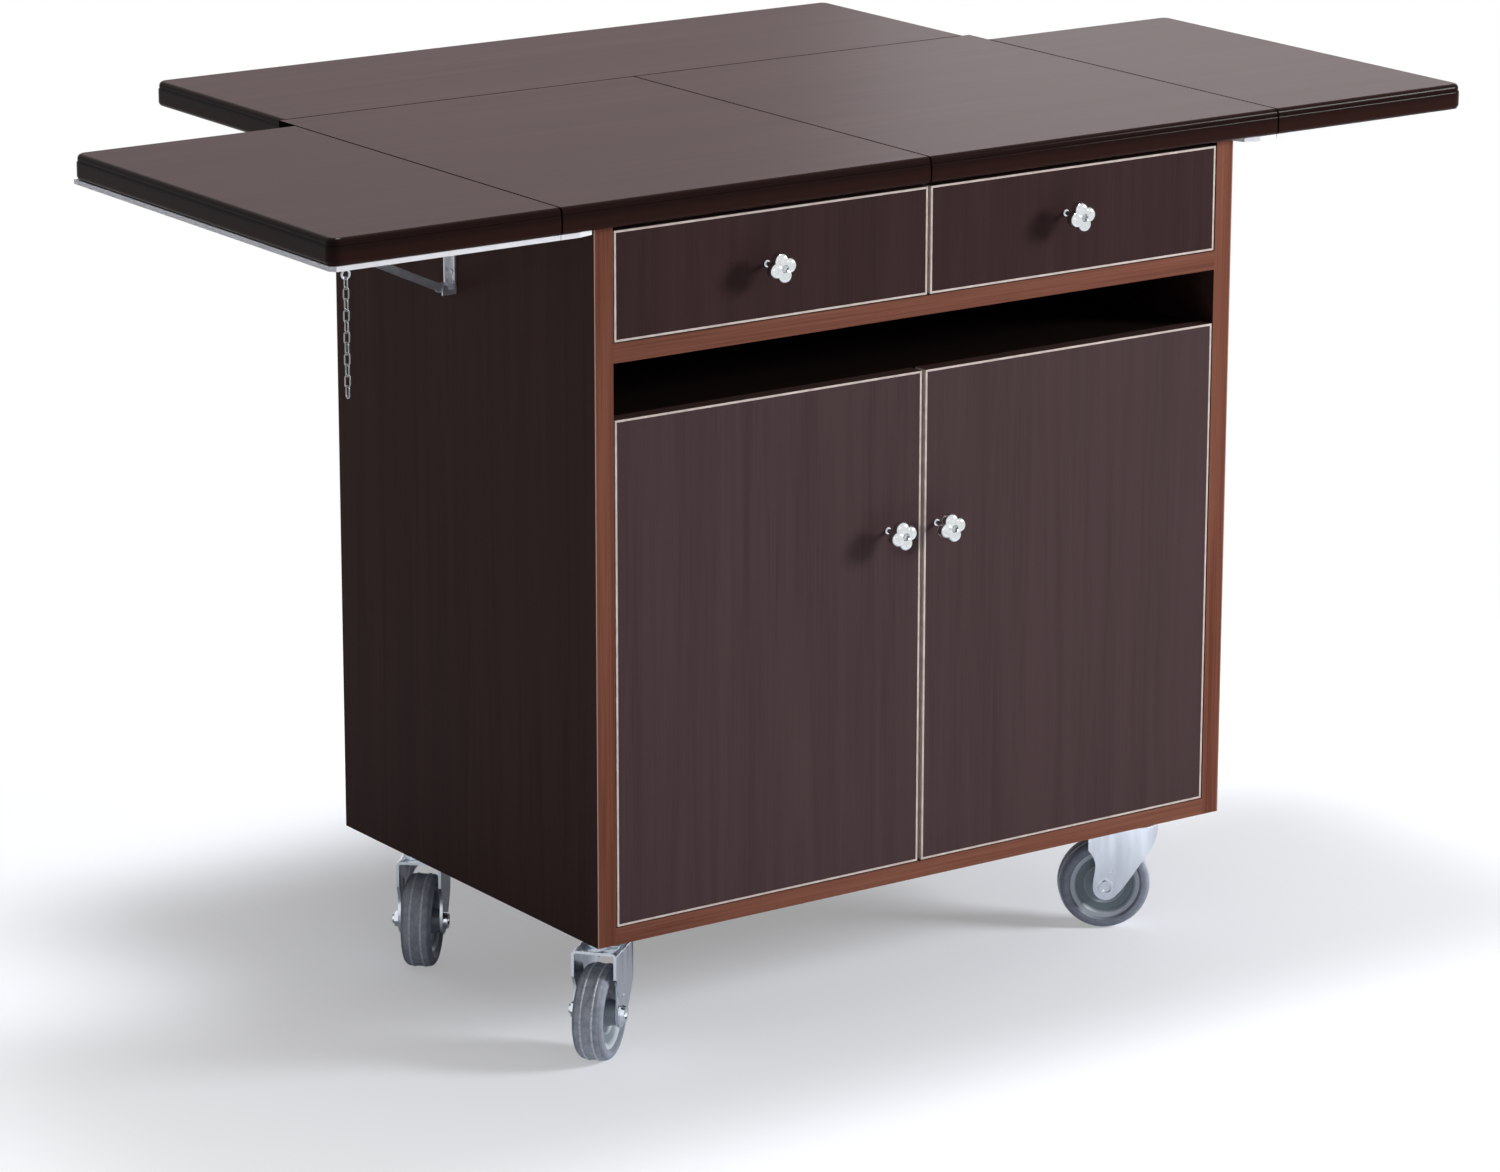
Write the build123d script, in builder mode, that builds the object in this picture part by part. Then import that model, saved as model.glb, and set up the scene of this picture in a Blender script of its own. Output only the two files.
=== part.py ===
"""Tableside cooking cart: a cabinet on four swivel casters with a three-leaf folding worktop."""
import os
from math import cos, radians, sin

from build123d import *

# Cabinet
cab_w = 800.0
cab_d = 490.0
cab_h = 739.0
side_t = 22.0
bottom_t = 18.0
back_t = 12.0
deck_t = 20.0
deck_z = 600.0
shelf_t = 18.0
shelf_top_z = 540.0
shelf_end_gap = 12.0
cleat_h = 20.0
cleat_front_in = 6.0
divider_t = 18.0
front_clear = 1.5

# Worktop
top_t = 27.0
top_front = 16.5
top_side = 46.4
top_rear = 31.4
side_leaf_out = 704.5
side_leaf_rear = 491.5
rear_leaf_out = 793.5
rear_leaf_half = 442.0
joint_gap = 1.0
top_split_x = -5.0
bead_h = 7.0
bead_in = 1.0
bead_top_r = 5.0
quirk_r = 2.5
round_low_r = 5.0
leaf_corner_r = 12.0
sheet_t = 5.0
sheet_front_in = 2.5
sheet_corner = 5.0
sheet_side_in = 1.5
strip_in = 4.0
strip_front_run = 21.0
strip_toe = 4.0
strip_toe_y = 5.0

# Leaf hinges
hinge_len = 62.0
hinge_plate_w = 24.0
hinge_plate_t = 2.0
hinge_r = 3.5
hinge_drop = 0.5
hinge_pin_r = 1.8
hinge_slack = 0.08
hinge_gap = 0.4
side_hinge_y = 170.0
rear_hinge_x = 300.0

# Folding brackets
arm_y = 259.5
arm_w = 13.0
arm_out = 7.0
arm_wall = 2.0
arm_foot_z = 626.0
arm_top_gap = 0.5
arm_ear_r = 5.2
band_out = 16.3
band_h = 5.0
band_w = 1.6
screw_r = 2.2
screw_t = 1.2
screw_ups = (11.0, 22.5, 85.0)
strut_pivot_out = 12.5
strut_pivot_z = 631.6
strut_rise = 25.0
strut_h = 8.0
strut_w = 8.0
strut_lip = 0.7
strut_wall = 1.2
strut_side_gap = 0.3
strut_pin_r = 2.0
strut_pin_slack = 0.06
pin_head_r = 2.8
pin_head_t = 1.2
keeper_t = 2.0
keeper_len = 60.0
keeper_gap = 0.5
keeper_cheek = 9.0
keeper_edge = 12.0
rear_arm_x = 120.0

# Drawer and door fronts
front_t = 18.0
band_t = 2.2
side_clear = 1.5
drawer_z = 621.1
drawer_h = 111.2
drawer_gap = 4.0
drawer_split_x = 5.0
door_z = 19.0
door_h = 523.4
door_gap = 5.0

# Drawer boxes and runners
box_wall = 14.0
box_h = 84.0
box_back_gap = 30.0
box_floor_t = 6.0
box_lift = 8.0
box_clear = 6.5
runner_out = 12.0
runner_h = 12.0
runner_slack = 0.4
runner_front_gap = 4.0
runner_back_gap = 34.5
runner_lift = 48.0

# Knobs
knob_lobes = 4
knob_turn = 15.0
knob_ring_r = 7.6
knob_lobe_r = 8.3
knob_lobe_t = 13.0
knob_round = 5.0
knob_well_r = 4.2
knob_bud_r = 2.4
knob_stem_r = 2.4
knob_foot_r = 3.6
knob_foot_t = 1.2
knob_stand = 26.0
drawer_knob_off = {"left": -8.6, "right": -12.4}
drawer_knob_z = {"left": 677.7, "right": 684.5}
door_knob_in = {"left": 44.1, "right": 17.7}
door_knob_z = {"left": 380.7, "right": 380.2}

# Door hinges
cup_r = 17.5
cup_depth = 12.0
cup_inset = 22.0
cup_wall = 1.5
cup_flange_w = 52.0
cup_flange_h = 12.0
cup_flange_t = 1.2
hinge_arm_len = 62.0
hinge_arm_w = 16.0
hinge_arm_t = 11.0
hinge_arm_end = 6.0
hinge_nose = 14.0
hinge_seat_t = 3.0
hinge_seat_w = 18.0
hinge_seat_h = 48.0
hinge_seat_r = 6.0
hinge_seat_back = 8.0
hinge_run_gap = 0.3
door_hinge_in = 95.0

# Casters
caster_h = 136.0
wheel_r = 50.0
tyre_w = 32.0
tyre_seat_r = 37.7
tyre_seat_rise = 2.0
tyre_shoulder = 7.0
tyre_round = 1.6
rib_h = 0.8
rib_w = 1.4
rib_at = 6.0
rim_w = 25.0
flange_r = 33.5
web_outer_r = 30.5
web_inner_r = 22.0
web_root_r = 20.0
web_t = 9.0
web_dip = 2.0
hub_r = 12.5
hub_draft = 1.5
hub_w = 40.0
axle_r = 5.0
axle_slack = 0.06
bolt_head_r = 9.0
bolt_head_t = 4.0
bolt_dish_r = 5.0
bolt_dish = 1.6
bolt_tail = 8.0
nut_r = 8.5
nut_t = 5.5
caster_trail = 34.0
fork_inner = 42.0
fork_t = 3.0
crown_z = 120.0
crown_rise = 2.5
crown_skirt = 8.0
crown_bend = 5.0
leg_end_r = 14.4
leg_flare = 20.0
leg_flare_up = 42.0
leg_waist = 12.4
leg_waist_up = 28.0
leg_edge_x = -5.5
leg_edge_up = 29.4
dimple_r = 3.2
dimple = 1.0
dimple_up = 19.5
dimple_in = 4.0
plate_x = 90.0
plate_y = 66.0
plate_t = 3.0
plate_r = 8.0
race_r = 25.0
race_h = 8.0
king_r = 7.0
king_tail = 6.0
king_cap_r = 11.0
king_cap_t = 5.0
king_slack = 0.08
king_cap_gap = 1.0
caster_x = 342.0
caster_front_y = 67.0
caster_rear_y = 419.0
caster_turn = {"front_left": 219.0, "front_right": 148.0, "rear_left": 228.0, "rear_right": 162.0}

# Chain
chain_wire_r = 0.7
chain_len = 13.4
chain_wide = 7.0
chain_count = 11
chain_slack = 0.15
chain_in = 29.5
chain_y = 8.0
eye_r = 4.2
eye_wire_r = 1.1
eye_shank = 9.0
eye_seat_r = 3.5
eye_seat_t = 1.2

# Places worked out from the sizes above
knob_reach = knob_stand + knob_lobe_t / 2
front = (knob_reach - rear_leaf_out) / 2
back = front + cab_d
base = caster_h
under = base + cab_h
top_z = under + top_t
half = cab_w / 2
inner = half - side_t
joint_x = half + top_side
leaf_x = joint_x + joint_gap
joint_y = back + top_rear
leaf_y = joint_y + joint_gap
y0 = front - top_front
leaf_back = front + side_leaf_rear
back_inner = back - back_t
deck_low = base + deck_z
deck_top = deck_low + deck_t
shelf_top = base + shelf_top_z
behind = front + front_t + front_clear
sheet_z = under - sheet_t
strip_inner_x = half + strip_in
chain_x = side_leaf_out - chain_in
box_len = cab_d - front_t - back_t - box_back_gap
runner_len = cab_d - front_t - front_clear - back_t - runner_front_gap - runner_back_gap
side_axis_z = sheet_z - hinge_drop - hinge_r
rear_axis_z = under - hinge_drop - hinge_r
side_axis_x = joint_x + joint_gap / 2
rear_axis_y = joint_y + joint_gap / 2
axle_z = wheel_r

os.makedirs("parts", exist_ok=True)


def save(part, node):
    part.label = node
    export_step(part, f"parts/{node}.step")


def save_group(pieces, node):
    """Several like pieces in one node, each its own solid."""
    solids = []
    for piece in pieces:
        solids += list(piece.solids())
    save(Compound(children=solids), node)


def board(x0, x1, ya, yb, z0, z1):
    """A square-edged board between two corners."""
    with BuildPart() as panel:
        with BuildSketch(Plane.XY.offset(z0)):
            with Locations(((x0 + x1) / 2, (ya + yb) / 2)):
                Rectangle(x1 - x0, yb - ya)
        extrude(amount=z1 - z0)
    return panel.part


def loose_edges(edges, joints):
    """The edges of one level that lie on no joint face; joints pairs a direction with a place."""
    kept = list(edges)
    for axis, place in joints:
        kept = [e for e in kept if abs(getattr(e.center(), axis) - place) > 0.5]
    return kept


def worktop(x0, x1, ya, yb, joints, corners):
    """A worktop board: a rounded edge with a fine step near the top on every side that is no joint."""
    faces = {"x0": ("X", x0), "x1": ("X", x1), "ya": ("Y", ya), "yb": ("Y", yb)}
    planes = [faces[name] for name in joints]
    levels = ((under, top_z - bead_h, 0.0, round_low_r, quirk_r),
              (top_z - bead_h, top_z, bead_in, 0.0, bead_top_r))
    layers = []
    for z0, z1, step, low_r, high_r in levels:
        left = x0 + (0.0 if "x0" in joints else step)
        right = x1 - (0.0 if "x1" in joints else step)
        near = ya + (0.0 if "ya" in joints else step)
        far = yb - (0.0 if "yb" in joints else step)
        with BuildPart() as layer:
            with BuildSketch(Plane.XY.offset(z0)) as outline:
                with Locations(((left + right) / 2, (near + far) / 2)):
                    Rectangle(right - left, far - near)
                spots = {"x0ya": (left, near), "x1ya": (right, near), "x0yb": (left, far), "x1yb": (right, far)}
                wanted = [v for v in outline.vertices()
                          if any(abs(v.X - spots[c][0]) + abs(v.Y - spots[c][1]) < 0.1 for c in corners)]
                if wanted:
                    fillet(wanted, leaf_corner_r - step)
            extrude(amount=z1 - z0)
            fillet(loose_edges(layer.edges().group_by(Axis.Z)[-1], planes), high_r)
            if low_r:
                fillet(loose_edges(layer.edges().group_by(Axis.Z)[0], planes), low_r)
        layers.append(layer.part)
    with BuildPart() as top:
        add(layers[0])
        add(layers[1])
    return top.part


# Carcass
save(board(-half, -inner, front, back, base, under), "side_panel_left")
save(board(inner, half, front, back, base, under), "side_panel_right")
save(board(-inner, inner, front, back_inner, base, base + bottom_t), "bottom_panel")
save(board(-inner, inner, back_inner, back, base, under), "back_panel")
save(board(-inner, inner, front, back_inner, deck_low, deck_top), "drawer_deck")
shelf_x = inner - shelf_end_gap
save(board(-shelf_x, shelf_x, behind, back_inner, shelf_top - shelf_t, shelf_top), "slot_shelf")
cleat_z = shelf_top - shelf_t
cleats = []
for side in (-1, 1):
    outer = side * inner
    end = side * (shelf_x - shelf_end_gap)
    cleats.append(board(min(outer, end), max(outer, end), behind + cleat_front_in, back_inner, cleat_z - cleat_h, cleat_z))
save_group(cleats, "shelf_cleats")
divider_low = drawer_split_x - divider_t / 2
divider_high = drawer_split_x + divider_t / 2
save(board(divider_low, divider_high, behind, back_inner, deck_top, under), "drawer_divider")

# Worktop and leaves
gap = joint_gap / 2
save(worktop(-joint_x, top_split_x - gap, y0, joint_y, ("x0", "x1", "yb"), ()), "top_left")
save(worktop(top_split_x + gap, joint_x, y0, joint_y, ("x0", "x1", "yb"), ()), "top_right")
save(worktop(-side_leaf_out, -leaf_x, y0, leaf_back, ("x1",), ("x0ya", "x0yb")), "leaf_left")
save(worktop(leaf_x, side_leaf_out, y0, leaf_back, ("x0",), ("x1ya", "x1yb")), "leaf_right")
rear_out = front + rear_leaf_out
save(worktop(-rear_leaf_half, rear_leaf_half, leaf_y, rear_out, ("ya",), ("x0yb", "x1yb")), "leaf_rear")


def leaf_sheet(side):
    """The pale sheet under a side leaf, nearly as large as the leaf, one corner nipped off."""
    near = y0 + sheet_front_in
    far_x = side_leaf_out - sheet_side_in
    with BuildPart() as sheet:
        with BuildSketch(Plane.XY.offset(sheet_z)) as outline:
            with Locations((side * (leaf_x + far_x) / 2, (near + leaf_back) / 2)):
                Rectangle(far_x - leaf_x, leaf_back - near)
            chamfer(outline.vertices().sort_by(lambda v: v.Y - side * v.X)[0], sheet_corner)
        extrude(amount=sheet_t)
    return sheet.part


def overhang_strip(side):
    """The packing strip under the overhang of the fixed top, tapered towards the cabinet at the front."""
    near = y0 + sheet_front_in
    with BuildPart() as strip:
        with BuildSketch(Plane.XY.offset(sheet_z)):
            with BuildLine():
                Polyline((side * joint_x, near), (side * (strip_inner_x + strip_front_run), near),
                         (side * (strip_inner_x + strip_toe), near + strip_toe_y), (side * strip_inner_x, front + 1),
                         (side * strip_inner_x, leaf_back), (side * joint_x, leaf_back), close=True)
            make_face()
        extrude(amount=sheet_t)
    return strip.part


save(leaf_sheet(-1), "leaf_left_sheet")
save(leaf_sheet(1), "leaf_right_sheet")
save_group([overhang_strip(-1), overhang_strip(1)], "overhang_strips")


def hinge_half(places, fixed):
    """Butt hinge halves along the local Y axis, plates towards local +X, axis at the origin."""
    third = hinge_len / 3
    segments = (-third, third) if fixed else (0.0,)
    length = third - hinge_gap
    reach = hinge_r + hinge_drop
    with BuildPart() as leaf:
        for place in places:
            with BuildSketch(Plane.XY.offset(reach - hinge_plate_t)):
                with Locations((reach + hinge_plate_w / 2, place)):
                    Rectangle(hinge_plate_w, hinge_len)
                for seg in segments:
                    with Locations(((reach + 1) / 2, place + seg)):
                        Rectangle(reach + 1, length)
            extrude(amount=hinge_plate_t)
            for seg in segments:
                with BuildSketch(Plane.XZ.offset(-(place + seg + length / 2))):
                    Circle(hinge_r)
                extrude(amount=length)
        for place in places:
            with BuildSketch(Plane.XZ.offset(-(place + hinge_len))):
                Circle(hinge_pin_r + (0.0 if fixed else hinge_slack))
            extrude(amount=2 * hinge_len, mode=Mode.SUBTRACT)
        if fixed:
            for place in places:
                with BuildSketch(Plane.XZ.offset(-(place + hinge_len / 2 - hinge_gap / 2))):
                    Circle(hinge_pin_r)
                extrude(amount=hinge_len - hinge_gap)
    return leaf.part


def wall_arm(top, hand):
    """An angle screwed to the cabinet wall, a rivet for the strut at its foot; hand says which y side is open."""
    foot = base + arm_foot_z
    pin_at = (strut_pivot_out, base + strut_pivot_z)
    leg_y = -hand * (arm_w - arm_wall) / 2
    edge_y = hand * arm_w / 2
    pin_end = leg_y + hand * (arm_wall / 2 + 2 * strut_side_gap + strut_w)
    with BuildPart() as arm:
        with BuildSketch(Plane.XY.offset(foot)):
            with Locations((arm_wall / 2, 0)):
                Rectangle(arm_wall, arm_w)
            with Locations((arm_out / 2, leg_y)):
                Rectangle(arm_out, arm_wall)
        extrude(amount=top - foot)
        with BuildSketch(Plane.XZ.offset(-leg_y)):
            with Locations(pin_at):
                Circle(arm_ear_r)
            with Locations((strut_pivot_out / 2, base + strut_pivot_z)):
                Rectangle(strut_pivot_out, 2 * arm_ear_r)
        extrude(amount=arm_wall / 2, both=True)
        with BuildSketch(Plane.XZ.offset(-edge_y)):
            with Locations((band_out / 2, foot + band_h / 2)):
                Rectangle(band_out, band_h)
        extrude(amount=hand * band_w)
        with BuildSketch(Plane.XZ.offset(-leg_y)):
            with Locations(pin_at):
                Circle(strut_pin_r)
        extrude(amount=leg_y - pin_end)
        with BuildSketch(Plane.XZ.offset(-pin_end)):
            with Locations(pin_at):
                Circle(pin_head_r)
        extrude(amount=-hand * pin_head_t)
        with BuildSketch(Plane.YZ.offset(arm_wall)):
            with Locations(*[(hand * arm_wall / 2, foot + up) for up in screw_ups]):
                Circle(screw_r)
        extrude(amount=screw_t)
    return arm.part


def strut(length, hand):
    """A channel open upwards along local +X, a lip along one lower edge, bored for its rivet at the origin."""
    with BuildPart() as link:
        with BuildSketch(Plane.XZ.offset(-strut_w / 2)):
            with Locations((length / 2, 0)):
                SlotCenterToCenter(length, strut_h)
        extrude(amount=strut_w)
        with BuildSketch(Plane.XY.offset(-strut_h / 2)):
            with Locations((length / 2, hand * strut_lip / 2)):
                Rectangle(length, strut_w + strut_lip)
        extrude(amount=strut_wall)
        with BuildSketch(Plane.XZ.offset(-(strut_w / 2 - strut_wall))):
            with Locations((length / 2, strut_wall)):
                Rectangle(length + 2 * strut_h, strut_h)
        extrude(amount=strut_w - 2 * strut_wall, mode=Mode.SUBTRACT)
        with BuildSketch(Plane.XZ.offset(-strut_w)):
            Circle(strut_pin_r + strut_pin_slack)
        extrude(amount=2 * strut_w, mode=Mode.SUBTRACT)
    return link.part


def keeper(plate_z, tip_out):
    """A guide under the leaf: a plate with a cheek on each side of the strut's free end."""
    centre = tip_out - keeper_len / 4
    wide = strut_w / 2 + strut_lip + keeper_gap
    with BuildPart() as guide:
        with BuildSketch(Plane.XY.offset(plate_z - keeper_t)):
            with Locations((centre, 0)):
                Rectangle(keeper_len, 2 * (wide + keeper_edge))
        extrude(amount=keeper_t)
        with BuildSketch(Plane.XY.offset(plate_z - keeper_cheek)):
            with Locations((centre, wide + keeper_t / 2), (centre, -wide - keeper_t / 2)):
                Rectangle(keeper_len, keeper_t)
        extrude(amount=keeper_cheek)
    return guide.part


def strut_length(plate_z):
    """Long enough for the rounded free end to lie just under the keeper's plate."""
    rise = plate_z - keeper_t - keeper_gap - strut_h / 2 - base - strut_pivot_z
    return rise / sin(radians(strut_rise))


# Screw eye for the chain
ring_z = sheet_z - eye_shank
eye_place = Location((-chain_x, front + chain_y, ring_z))
with BuildPart() as eye:
    Torus(eye_r, eye_wire_r, rotation=(90, 0, 0))
    with BuildSketch(Plane.XY.offset(eye_r)):
        Circle(eye_wire_r)
    extrude(amount=eye_shank - eye_r)
    with BuildSketch(Plane.XY.offset(eye_shank - eye_seat_t)):
        Circle(eye_seat_r)
    extrude(amount=eye_seat_t)
brackets = {
    "left": (Location((-half, front + arm_y, 0), (0, 0, 180)), sheet_z, 1),
    "right": (Location((half, front + arm_y, 0)), sheet_z, -1),
    "rear": (Location((0, back, 0), (0, 0, 90)), under, 1),
}
strut_shift = strut_w / 2 + strut_side_gap + arm_wall - arm_w / 2
hinge_mid = (y0 + leaf_back) / 2
hinge_places = {
    "left": (Location((-side_axis_x, hinge_mid, side_axis_z), (0, 0, 180)), (-side_hinge_y, side_hinge_y)),
    "right": (Location((side_axis_x, hinge_mid, side_axis_z)), (-side_hinge_y, side_hinge_y)),
    "rear": (Location((0, rear_axis_y, rear_axis_z), (0, 0, 90)), (-rear_hinge_x, 0.0, rear_hinge_x)),
}
fixed_hinges = []
arms = []
for name, (place, plate_z, hand) in brackets.items():
    spots = [Location((0, -rear_arm_x, 0)), Location((0, rear_arm_x, 0))] if name == "rear" else [Location()]
    length = strut_length(plate_z)
    tip_out = strut_pivot_out + length * cos(radians(strut_rise))
    in_line = Location((0, hand * strut_shift, 0))
    raised = in_line * Location((strut_pivot_out, 0, base + strut_pivot_z), (0, -strut_rise, 0))
    hinge_place, places = hinge_places[name]
    fixed_hinges.append(hinge_place * Location((0, 0, 0), (0, 0, 180)) * hinge_half(places, True))
    arms += [place * spot * wall_arm(plate_z - arm_top_gap, hand) for spot in spots]
    save_group([place * spot * raised * strut(length, hand) for spot in spots], f"bracket_{name}_strut")
    fittings = [hinge_place * hinge_half(places, False)]
    fittings += [place * spot * in_line * keeper(plate_z, tip_out) for spot in spots]
    if name == "left":
        fittings.append(eye_place * eye.part)
    save_group(fittings, f"leaf_{name}_fittings")
save_group(fixed_hinges, "leaf_hinges_fixed")
save_group(arms, "bracket_wall_arms")

# Chain on the left leaf
link_pitch = chain_len - 4 * chain_wire_r
bend_r = chain_wide / 2 - chain_wire_r
straight = chain_len / 2 - chain_wire_r - bend_r
with BuildPart() as link:
    with BuildLine(Plane.YZ) as path:
        Line((bend_r, -straight), (bend_r, straight))
        JernArc((bend_r, straight), (0, 1), bend_r, 180)
        Line((-bend_r, straight), (-bend_r, -straight))
        JernArc((-bend_r, -straight), (0, -1), bend_r, 180)
    with BuildSketch(Plane((0, bend_r, 0), z_dir=(0, 0, 1))):
        Circle(chain_wire_r)
    sweep(path=path.wire())
first_z = ring_z - eye_r + eye_wire_r + chain_wire_r + chain_slack - (straight + bend_r)
links = []
for index in range(chain_count):
    drop = Location((-chain_x, front + chain_y, first_z - index * link_pitch), (0, 0, 90 * (index % 2)))
    links.append(drop * link.part)
save_group(links, "chain_links")


def front_panel(x0, x1, z0, height):
    """A front board inside its edging."""
    return board(x0 + band_t, x1 - band_t, front, front + front_t, z0 + band_t, z0 + height - band_t)


def edging(x0, x1, z0, height):
    """The pale edging round all four edges of a front board."""
    with BuildPart() as ring:
        with BuildSketch(Plane.XZ.offset(-front)):
            with Locations(((x0 + x1) / 2, z0 + height / 2)):
                Rectangle(x1 - x0, height)
                Rectangle(x1 - x0 - 2 * band_t, height - 2 * band_t, mode=Mode.SUBTRACT)
        extrude(amount=-front_t)
    return ring.part


def knob(x, z):
    """A clover-shaped knob: four thick round petals about a well with a small bud, on a thin stem with a foot."""
    with BuildPart() as petal:
        with BuildSketch(Plane.XY.offset(knob_stand - knob_lobe_t / 2)):
            Circle(knob_lobe_r)
        extrude(amount=knob_lobe_t)
        fillet(petal.edges().filter_by(GeomType.CIRCLE), knob_round)
    with BuildPart() as clover:
        with BuildSketch(Plane.XY):
            Circle(knob_foot_r)
        extrude(amount=knob_foot_t)
        with BuildSketch(Plane.XY):
            Circle(knob_stem_r)
        extrude(amount=knob_stand)
        with PolarLocations(knob_ring_r, knob_lobes, start_angle=knob_turn):
            add(petal.part)
        with BuildSketch(Plane.XY.offset(knob_stand)):
            Circle(knob_well_r)
        extrude(amount=knob_lobe_t, mode=Mode.SUBTRACT)
        with Locations((0, 0, knob_stand)):
            Sphere(knob_bud_r)
    return Location((x, front, z), (90, 0, 0)) * clover.part


def drawer_box(x0, x1):
    """An open box behind a drawer front, its sides grooved for the runners."""
    ya = front + front_t
    yb = ya + box_len
    z0 = deck_top + box_lift
    groove_z = deck_top + runner_lift
    with BuildPart() as box:
        with BuildSketch(Plane.XY.offset(z0)):
            with Locations(((x0 + x1) / 2, (ya + yb) / 2)):
                Rectangle(x1 - x0, yb - ya)
        extrude(amount=box_h)
        with BuildSketch(Plane.XY.offset(z0 + box_floor_t)):
            with Locations(((x0 + x1) / 2, (ya + yb) / 2)):
                Rectangle(x1 - x0 - 2 * box_wall, yb - ya - 2 * box_wall)
        extrude(amount=box_h, mode=Mode.SUBTRACT)
        depth = runner_out - box_clear + runner_slack
        with BuildSketch(Plane.XZ.offset(-yb)):
            for x in (x0 + depth / 2, x1 - depth / 2):
                with Locations((x, groove_z)):
                    Rectangle(depth, runner_h + 2 * runner_slack)
        extrude(amount=box_len, mode=Mode.SUBTRACT)
    return box.part


# Drawers
front_half = inner - side_clear
drawer_base = base + drawer_z
bays = {"left": (-inner, divider_low, -front_half, drawer_split_x - drawer_gap / 2),
        "right": (divider_high, inner, drawer_split_x + drawer_gap / 2, front_half)}
runners = []
for name, (wall_left, wall_right, x0, x1) in bays.items():
    save(front_panel(x0, x1, drawer_base, drawer_h), f"drawer_{name}_front")
    save(edging(x0, x1, drawer_base, drawer_h), f"drawer_{name}_edging")
    save(drawer_box(wall_left + box_clear, wall_right - box_clear), f"drawer_{name}_box")
    save(knob((x0 + x1) / 2 + drawer_knob_off[name], base + drawer_knob_z[name]), f"drawer_{name}_knob")
    z = deck_top + runner_lift
    ya = behind + runner_front_gap
    runners.append(board(wall_left, wall_left + runner_out, ya, ya + runner_len, z - runner_h / 2, z + runner_h / 2))
    runners.append(board(wall_right - runner_out, wall_right, ya, ya + runner_len, z - runner_h / 2, z + runner_h / 2))
save_group(runners, "drawer_runners")


def cup(x, z):
    """The part of a concealed hinge let into the back of a door."""
    with BuildPart() as bowl:
        with BuildSketch(Plane.XZ.offset(-(front + front_t))):
            with Locations((x, z)):
                Circle(cup_r)
        extrude(amount=cup_depth)
        with BuildSketch(Plane.XZ.offset(-(front + front_t))):
            with Locations((x, z)):
                SlotOverall(cup_flange_w, cup_flange_h, rotation=90)
                Circle(cup_r + cup_wall)
        extrude(amount=-cup_flange_t)
        with BuildSketch(Plane.XZ.offset(-(front + front_t + cup_flange_t))):
            with Locations((x, z)):
                Circle(cup_r - cup_wall)
        extrude(amount=cup_depth, mode=Mode.SUBTRACT)
    return bowl.part


def hinge_arm(side, z):
    """The arm of a concealed hinge and its seat on the side panel."""
    ya = front + front_t + cup_flange_t + hinge_run_gap
    with BuildPart() as arm:
        with BuildSketch(Plane.XY.offset(z - hinge_arm_w / 2)):
            with BuildLine():
                wall = side * inner
                deep = wall - side * (hinge_seat_t + hinge_arm_t)
                Polyline((wall, ya + hinge_nose), (wall - side * hinge_arm_end, ya), (deep, ya),
                         (deep, ya + hinge_arm_len - hinge_arm_end), (wall - side * hinge_arm_end, ya + hinge_arm_len),
                         (wall, ya + hinge_arm_len), close=True)
            make_face()
        extrude(amount=hinge_arm_w)
        with BuildSketch(Plane.YZ.offset(side * inner)):
            with Locations((ya + hinge_arm_len / 2 + hinge_seat_back, z)):
                RectangleRounded(hinge_seat_w, hinge_seat_h, hinge_seat_r)
        extrude(amount=-side * hinge_seat_t)
    return arm.part


# Doors
door_base = base + door_z
hinge_heights = (door_base + door_hinge_in, door_base + door_h - door_hinge_in)
doors = {"left": (-1, -front_half, -door_gap / 2), "right": (1, door_gap / 2, front_half)}
plates = []
for name, (side, x0, x1) in doors.items():
    cup_x = side * (front_half - cup_inset)
    with BuildPart() as door:
        add(front_panel(x0, x1, door_base, door_h))
        with BuildSketch(Plane.XZ.offset(-(front + front_t))):
            with Locations(*[(cup_x, z) for z in hinge_heights]):
                Circle(cup_r)
        extrude(amount=cup_depth, mode=Mode.SUBTRACT)
    save(door.part, f"door_{name}_panel")
    save(edging(x0, x1, door_base, door_h), f"door_{name}_edging")
    save(knob(side * door_knob_in[name], base + door_knob_z[name]), f"door_{name}_knob")
    save_group([cup(cup_x, z) for z in hinge_heights], f"door_{name}_hinge_cups")
    plates += [hinge_arm(side, z) for z in hinge_heights]
save_group(plates, "door_hinge_arms")


def caster_plate():
    """The mounting plate with its race and king pin, on the caster's own swivel axis."""
    with BuildPart() as head:
        with BuildSketch(Plane.XY.offset(base - plate_t)):
            RectangleRounded(plate_x, plate_y, plate_r)
        extrude(amount=plate_t)
        with BuildSketch(Plane.XY.offset(base - plate_t)):
            Circle(race_r)
        extrude(amount=-race_h, taper=12)
        with BuildSketch(Plane.XY.offset(base - plate_t)):
            Circle(king_r)
        extrude(amount=-(base - plate_t - crown_z + fork_t + king_tail))
        with BuildSketch(Plane.XY.offset(crown_z - fork_t - king_cap_gap)):
            Circle(king_cap_r)
        extrude(amount=-king_cap_t)
    return head.part


def fork_plan(radius):
    """The fork seen from above: round about the king pin and straight towards the axle."""
    with BuildSketch() as plan:
        Circle(radius)
        with Locations((caster_trail, 0)):
            Rectangle(2 * caster_trail, 2 * radius)
    return plan.sketch


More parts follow.
